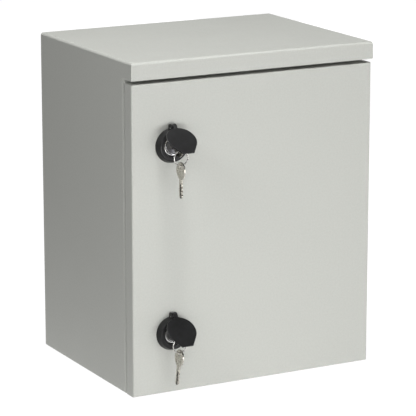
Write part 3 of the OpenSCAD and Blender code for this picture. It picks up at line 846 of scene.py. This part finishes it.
def lock_rotor(cam_front):
    """The turning barrel: a rounded rim about a sunk face, its shank and the cam's square."""
    edge = 0.3
    shoulder = -STEP - STEP_GAP
    rounding = -ROTOR_OUT + ROTOR_ROUND
    flat = 0.5
    inside = -ROTOR_OUT + 0.9
    rotor = turned("rotor", "Y", HERE, (
        [(5.0, cam_front), (CAM_ROUND, cam_front - edge), (CAM_ROUND, SLEEVE_LENGTH),
         (SHANK - edge, SLEEVE_LENGTH), (SHANK, SLEEVE_LENGTH - edge), (SHANK, shoulder),
         (ROTOR - edge, shoulder), (ROTOR, -STEP - edge)]
        + arc((ROTOR - ROTOR_ROUND, rounding), ROTOR_ROUND, 0, -90, 5)
        + arc((ROTOR - ROTOR_ROUND - flat, rounding), ROTOR_ROUND, -90, -150, 4)
        + [(8.2, inside), (4.0, inside)]
    ))
    combine(rotor, keyway())
    square = block(
        "square", HERE,
        (-CAM_SQUARE, cam_front - 0.2, -CAM_SQUARE), (CAM_SQUARE, cam_front + 2.5, CAM_SQUARE),
    )
    return soften(gather(soften(rotor, 0), soften(square, 0.3)), 0)


def rotor_face():
    """The plug inside the rim: a slightly dished face with the keyway cut through it."""
    front = -ROTOR_OUT + 0.05
    face = turned("face", "Y", HERE, [
        (FACE_PLUG, front + 1.15), (FACE_PLUG, front + 0.3), (FACE_PLUG - 0.3, front),
        (FACE_PLUG - 0.7, front), (FACE_PLUG - 1.3, front + 0.25), (2.0, front + 0.3)])
    combine(face, keyway())
    return soften(face, 0.08)


def cam_screw(low, high):
    """A hexagon-headed screw that holds the cam on its square."""
    corners, thick = CAM_SCREW_HEAD
    head = hex_nut("cam screw", "Y", HERE, corners, None, high - thick, high)
    shank = rod("shank", "Y", HERE, CAM_SCREW_SHANK, low, high - thick + 0.5, sides=32)
    return soften(gather(head, shank), 0)


def cover_pin():
    """The pin that the dust cover turns on, with chamfered ends."""
    half = COVER_EARS_WIDE - 0.02
    body = half - 0.18
    pin = turned("pin", "X", COVER_AXIS, [
        (PIN - 0.15, -half), (PIN, -body), (PIN, body), (PIN - 0.15, half)], sides=32)
    return soften(pin, 0)


def split_ring():
    """A ring of flat spring wire that goes round twice."""
    half_thick = RING_WIRE / 3
    squeeze = 0.97                  # leaves a hair between the two turns
    bpy.ops.object.select_all(action="DESELECT")
    bpy.ops.mesh.primitive_circle_add(
        vertices=16, radius=RING_WIRE * MM, location=(RING * MM, 0, (half_thick - RING_WIRE) * MM),
        rotation=(math.pi / 2, 0, 0), scale=(squeeze, squeeze * half_thick / RING_WIRE, 1),
    )
    ring = added("ring")
    modifier = ring.modifiers.new("Turns", "SCREW")
    modifier.axis = "Z"
    modifier.screw_offset = 2 * half_thick * MM
    modifier.iterations = 2
    modifier.steps = modifier.render_steps = 64
    bpy.ops.object.modifier_apply(modifier=modifier.name)
    close_up(ring)
    return soften(stand(ring, "Y", HERE), 0)


def stamped_key(node, placing):
    """A key lying flat at its own origin: softened edges, a sunk panel and grooves milled along the blade, whose
    faces are painted near black as shade.
    """
    piece = copy_of(node, "key")
    piece.matrix_world = placing.inverted()
    piece = soften(settle(piece), 0.28, 3, angle=35)
    for way in (1, -1):
        face = KEY_THICK / 2 * way
        low, high = sorted((face - BOW_PANEL_DEEP * way, face + way))
        panel = rod("panel", "Z", (BOW_MIDDLE * MM, 0, 0), BOW_PANEL, low, high)
        combine(panel, rod("boss", "Z", (HOLE_AT * MM, 0, 0), BOW_BOSS, low - 1, high + 1))
        combine(piece, panel)
        for name, (near, far), start, deep in KEY_GROOVES:
            low, high = sorted((face - deep * way, face + way))
            groove = block(name, HERE, (-BLADE - 1, near, low), (start, far, high))
            # The groove's faces are painted near black as shade
            groove.data.materials.append(GROOVE_SHADE)
            combine(piece, groove)
    return soften(piece, 0)


def set_out(pattern, placings, finishes=None):
    """Sets a copy of one pattern at each node's place, and puts the pattern away."""
    for node, placing in placings.items():
        copy = twin_of(pattern, node + "_finished", placing)
        dress(copy, node, (finishes or {}).get(node))
    bpy.data.objects.remove(pattern)


LOCK_CENTRE = {lock: Vector(JOINTS[f"{lock}_lock_turn"]["pos_m"]) for lock in LEVELS}
AT_LOCK = {lock: Matrix.Translation(centre) for lock, centre in LOCK_CENTRE.items()}


def at_locks(piece_of_lock, inner=lambda lock: Matrix()):
    """Where each lock's own piece goes: the lock's centre, then a place within the lock."""
    return {f"{piece_of_lock}_{lock}": AT_LOCK[lock] @ inner(lock) for lock in LEVELS}


def lifted(lock):
    """The dust cover's place: turned up about its pin."""
    return (
        Matrix.Translation(COVER_AXIS)
        @ Matrix.Rotation(math.radians(-COVER_LIFT[lock]), 4, "X")
    )


def ring_middle(lock):
    """The key ring's place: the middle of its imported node."""
    low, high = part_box("key_ring_" + lock)
    return Matrix.Translation((Vector(low) + Vector(high)) / 2 - LOCK_CENTRE[lock])


def in_lock(lock):
    """The key's place: its blade along the lock's axis, home but for what stands out."""
    bow = extent("key_" + lock, LOCK_CENTRE[lock])
    stands_out = -(bow[0].y + KEY_HOME + BOW_MIDDLE + BOW)
    return (
        Matrix.Translation(Vector((0, -KEY_HOME - stands_out, 0)) * MM)
        @ Matrix.Rotation(math.radians(-90), 4, "Z") @ Matrix.Rotation(math.radians(90), 4, "X")
    )


def hanging(lock):
    """The spare key's place: hung by its hole from the ring, leaning a little."""
    hole = Vector(JOINTS[f"{lock}_spare_swing"]["pos_m"]) - LOCK_CENTRE[lock]
    return (
        Matrix.Translation(hole) @ Matrix.Rotation(math.radians(SPARE_LEAN[lock] - 90), 4, "Y")
        @ Matrix.Translation((-HOLE_AT * MM, 0, 0))
    )


def depths(node):
    """Where the upper lock's copy of a piece begins and ends, along the lock's axis."""
    low, high = extent(node + "_upper", LOCK_CENTRE["upper"])
    return low.y, high.y


def lock_nut():
    """The nut that clamps the lock to the door, over the sleeve's thread."""
    return hex_nut("lock nut", "Y", HERE, NUT_CORNERS, SLEEVE - 0.2, *depths("lock_nut"))


set_out(lock_housing(), at_locks("lock_housing"))
set_out(dust_cover(), at_locks("dust_cover", lifted))
set_out(lock_rotor(depths("lock_cam")[0]), at_locks("lock_rotor"))
set_out(lock_nut(), at_locks("lock_nut"))
set_out(cam_screw(*depths("cam_screw")), at_locks("cam_screw"))
set_out(cover_pin(), at_locks("cover_pin"))
set_out(split_ring(), at_locks("key_ring", ring_middle))
keys = {**at_locks("key", in_lock), **at_locks("spare_key", hanging)}
# The keys home in the locks take the darker nickel, which paints the shade they stand in
painted_shade_keys = {"key_" + lock: SHADED_KEY_NICKEL for lock in LEVELS}
set_out(stamped_key("key_upper", keys["key_upper"]), keys, painted_shade_keys)

# The face is a second piece of the rotor, so it rides with it and stands for no node
face = rotor_face()
for lock in LEVELS:
    rotor = f"lock_rotor_{lock}"
    copy = twin_of(face, f"rotor_face_{lock}", AT_LOCK[lock])
    place(copy, BODY_OF[rotor], ROTOR_FACE, SLOT_OF[rotor])
bpy.data.objects.remove(face)


# ------------------------------------------------------------------ stage, light, camera

CAMERA_PLACE = Vector((-1.259, -2.465, 0.625))
CAMERA_HEADING = math.radians(28.25)
CAMERA_PITCH = math.radians(13.45)
CAMERA_LENS = 207.8

FLOOR_DROP = 0.3 * MM               # keeps the floor just clear of the cabinet's underside
FLOOR_SIZE = 40
FLOOR_GLOW = (0.10, 0.90)           # the floor's own light at the left and at the middle
FLOOR_GLOW_FROM = (-0.60, 0.0)      # and where along X those are
HORIZON_GLOW = 0.92
ROOM_GLOW = 0.05
HORIZON_FADE = (0.05, 0.12)         # how far up one fades into the other, as the angle's sine

# Name, place, what it points at, size in metres and power in watts
SOFTBOXES = (
    ("front softbox", (0.75, -2.5, 0.45), (0, -0.2, 0.0), (1.0, 1.0), 11.8),
    ("low softbox", (-0.12, -1.0, -0.20), (-0.12, -0.23, -0.10), (0.4, 0.3), 5.6),
    ("corner softbox", (-0.62, -0.85, -0.12), (-0.15, -0.2, -0.15), (0.3, 0.2), 1.0),
    ("left softbox", (-1.2, -0.62, 0.95), (-0.15, -0.12, 0.1), (0.4, 0.4), 7.0),
    ("top softbox", (-0.13, -0.42, 1.7), (-0.10, -0.28, 0.2), (0.2, 0.6), 26.5),
    ("back softbox", (1.4, 1.9, -0.1), (0, 0, -0.05), (1.2, 0.5), 14),
)


def white_backdrop(tree, glow):
    """Keeps the backdrop white to look at, while it lights the cabinet with its own glow."""
    brighter = tree.nodes.new("ShaderNodeMath")
    brighter.operation = "MAXIMUM"
    looked_at = tree.nodes.new("ShaderNodeLightPath").outputs["Is Camera Ray"]
    tree.links.new(looked_at, brighter.inputs[0])
    tree.links.new(glow, brighter.inputs[1])
    return brighter.outputs["Value"]


def build_stage():
    """A wide pale floor under the cabinet, whose own light is weaker to the left."""
    bpy.ops.object.select_all(action="DESELECT")
    bpy.ops.mesh.primitive_plane_add(
        size=FLOOR_SIZE, location=(0, 0, CAD_BOX[0][2] - FLOOR_DROP)
    )
    floor = added("studio_floor")
    pale = Finish("studio floor", (0.06, 0.06, 0.06), 1.0)
    pale.set(Emission_Color=(1, 1, 1, 1), Specular_IOR_Level=0.0)
    across = pale.tree.nodes.new("ShaderNodeSeparateXYZ")
    pale.tree.links.new(pale.coords, across.inputs["Vector"])
    glow = pale.spread(across.outputs["X"], *FLOOR_GLOW, *FLOOR_GLOW_FROM)
    pale.tree.links.new(white_backdrop(pale.tree, glow), pale.shader.inputs["Emission Strength"])
    floor.data.materials.append(pale.material)


def area_light(name, where, target, size, power):
    """A rectangular softbox that points at a target and isn't itself seen."""
    light = bpy.data.lights.new(name, "AREA")
    light.shape = "RECTANGLE"
    light.size, light.size_y = size
    light.energy = power
    lamp = bpy.data.objects.new(name, light)
    lamp.location = where
    aim = Vector(target) - Vector(where)
    lamp.rotation_euler = aim.to_track_quat("-Z", "Y").to_euler()
    bpy.context.scene.collection.objects.link(lamp)
    lamp.visible_camera = False


def build_light():
    """A dim room with a pale horizon, and softboxes in front, above, behind and at the left."""
    world = bpy.data.worlds.new("studio")
    bpy.context.scene.world = world
    world.use_nodes = True
    tree = world.node_tree
    background = tree.nodes["Background"]
    up = tree.nodes.new("ShaderNodeSeparateXYZ")
    tree.links.new(tree.nodes.new("ShaderNodeTexCoord").outputs["Generated"], up.inputs["Vector"])
    fade = tree.nodes.new("ShaderNodeMapRange")
    for socket, number in (
        ("From Min", HORIZON_FADE[0]), ("From Max", HORIZON_FADE[1]),
        ("To Min", HORIZON_GLOW), ("To Max", ROOM_GLOW),
    ):
        fade.inputs[socket].default_value = number
    tree.links.new(up.outputs["Z"], fade.inputs["Value"])
    strength = white_backdrop(tree, fade.outputs["Result"])
    tree.links.new(strength, background.inputs["Strength"])
    background.inputs["Color"].default_value = (1, 1, 1, 1)
    for softbox in SOFTBOXES:
        area_light(*softbox)
    view = bpy.context.scene.view_settings
    view.view_transform = "Standard"
    view.look = "None"


def build_camera():
    """A long lens, turned to the cabinet's left front corner and a little down."""
    lens = bpy.data.cameras.new("camera")
    lens.lens = CAMERA_LENS
    lens.sensor_width = 36
    lens.clip_end = 100
    camera = bpy.data.objects.new("camera", lens)
    camera.location = CAMERA_PLACE
    camera.rotation_euler = (math.pi / 2 - CAMERA_PITCH, 0, -CAMERA_HEADING)
    bpy.context.scene.collection.objects.link(camera)
    bpy.context.scene.camera = camera


build_stage()
build_light()
build_camera()
